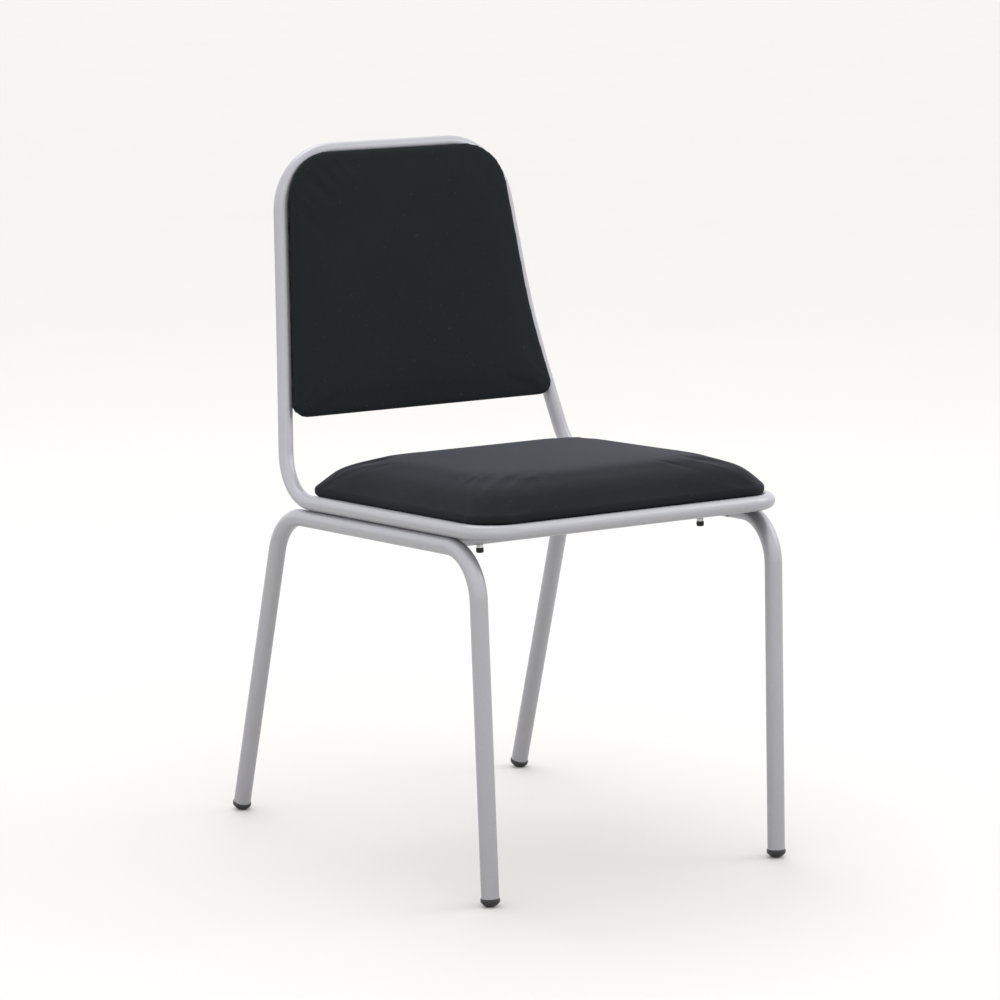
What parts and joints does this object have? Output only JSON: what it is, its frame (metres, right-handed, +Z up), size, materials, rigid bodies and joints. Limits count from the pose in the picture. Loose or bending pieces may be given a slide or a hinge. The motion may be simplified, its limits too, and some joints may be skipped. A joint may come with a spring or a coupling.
{
  "type": "stacking chair",
  "caption": "Armless stacking chair: upholstered seat and back pads set into a bent round-tube loop, welded onto inverted-U tube leg frames with plastic glides.",
  "frame": {"origin": "on the floor, under the middle of the chair's plan outline", "axes": "+Z up; +X to the sitter's left; the sitter looks along -Y"},
  "size_m": [0.4604, 0.609, 0.8684],
  "materials": {
    "silver_paint": "satin silver-grey paint on steel tube",
    "black_fabric": "plain black upholstery weave",
    "foam": "open-cell upholstery foam",
    "plywood": "raw plywood",
    "black_lining": "thin black non-woven lining",
    "black_plastic": "moulded black plastic",
    "black_rubber": "black rubber",
    "zinc_steel": "zinc-plated steel",
    "weld_steel": "painted weld bead"
  },
  "bodies": {
    "root": {"back_board": "plywood", "back_cover": "black_fabric", "back_foam": "foam", "back_lug_lower_left": "silver_paint", "back_lug_lower_right": "silver_paint", "back_lug_upper_left": "silver_paint", "back_lug_upper_right": "silver_paint", "back_rear_panel": "black_lining", "back_screw_lower_left": "zinc_steel", "back_screw_lower_right": "zinc_steel", "back_screw_upper_left": "zinc_steel", "back_screw_upper_right": "zinc_steel", "back_tee_nut_lower_left": "zinc_steel", "back_tee_nut_lower_right": "zinc_steel", "back_tee_nut_upper_left": "zinc_steel", "back_tee_nut_upper_right": "zinc_steel", "crossbar_front": "silver_paint", "crossbar_rear": "silver_paint", "crossbar_weld_front_left": "weld_steel", "crossbar_weld_front_right": "weld_steel", "crossbar_weld_rear_left": "weld_steel", "crossbar_weld_rear_right": "weld_steel", "front_glide_left": "black_plastic", "front_glide_right": "black_plastic", "leg_frame_left": "silver_paint", "leg_frame_right": "silver_paint", "loop_joint_sleeve": "zinc_steel", "rail_weld_front_left": "weld_steel", "rail_weld_front_right": "weld_steel", "rail_weld_rear_left": "weld_steel", "rail_weld_rear_right": "weld_steel", "rear_glide_left": "black_plastic", "rear_glide_right": "black_plastic", "seat_back_loop": "silver_paint", "seat_board": "plywood", "seat_bolt_front_left": "zinc_steel", "seat_bolt_front_right": "zinc_steel", "seat_bolt_rear_left": "zinc_steel", "seat_bolt_rear_right": "zinc_steel", "seat_cover": "black_fabric", "seat_dust_cover": "black_lining", "seat_foam": "foam", "seat_nut_front_left": "zinc_steel", "seat_nut_front_right": "zinc_steel", "seat_nut_rear_left": "zinc_steel", "seat_nut_rear_right": "zinc_steel", "stacking_bumper_front_left": "black_rubber", "stacking_bumper_front_right": "black_rubber", "stacking_bumper_rear_left": "black_rubber", "stacking_bumper_rear_right": "black_rubber"}
  },
  "joints": []
}
